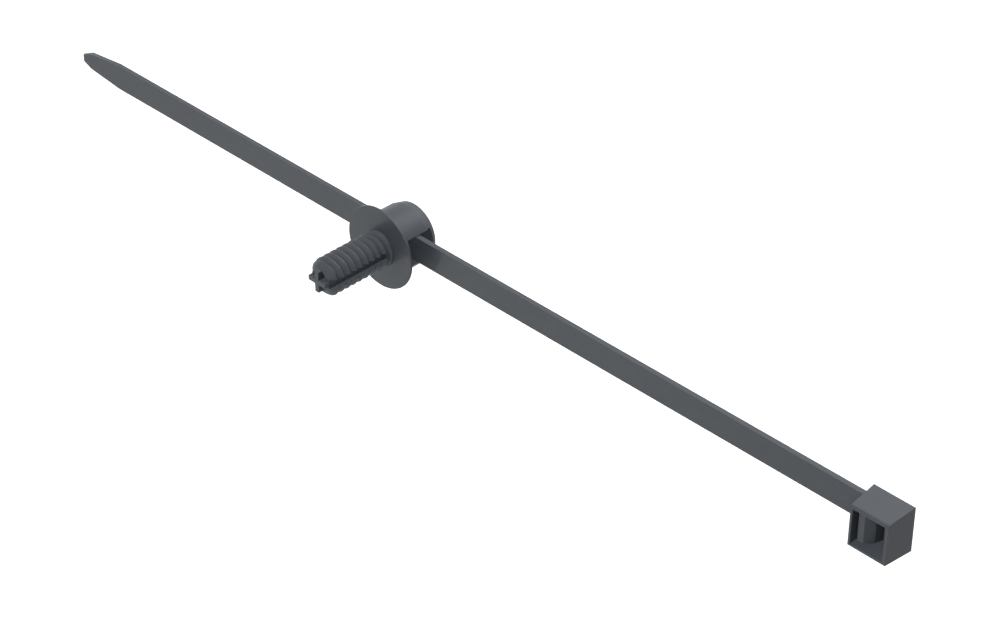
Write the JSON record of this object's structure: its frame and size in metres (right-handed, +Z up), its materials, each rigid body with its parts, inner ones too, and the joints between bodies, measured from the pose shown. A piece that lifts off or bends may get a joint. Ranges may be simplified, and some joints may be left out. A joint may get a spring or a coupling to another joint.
{
  "type": "wire harness clip",
  "caption": "Cable tie with a one-way locking head, whose toothed strap runs loose through the slotted boss of a push-in fir-tree stud that holds a wire harness to a panel.",
  "frame": {"origin": "on the stud's axis, in the disc's face that seats on the panel", "axes": "-Y along the stud into the panel, +X along the strap towards the head, +Z up across the strap's width, the harness on the +Y side"},
  "size_m": [0.1893, 0.0219, 0.015],
  "materials": {
    "nylon": "fine satin moulding finish"
  },
  "bodies": {
    "mount": {"fir_tree_mount": "nylon"},
    "tie": {"cable_tie": "nylon"}
  },
  "joints": [
    {"name": "strap_slide", "type": "slide", "parent": "mount", "child": "tie", "axis": [1, 0, 0], "range_m": [-0.09, 0.075]}
  ]
}
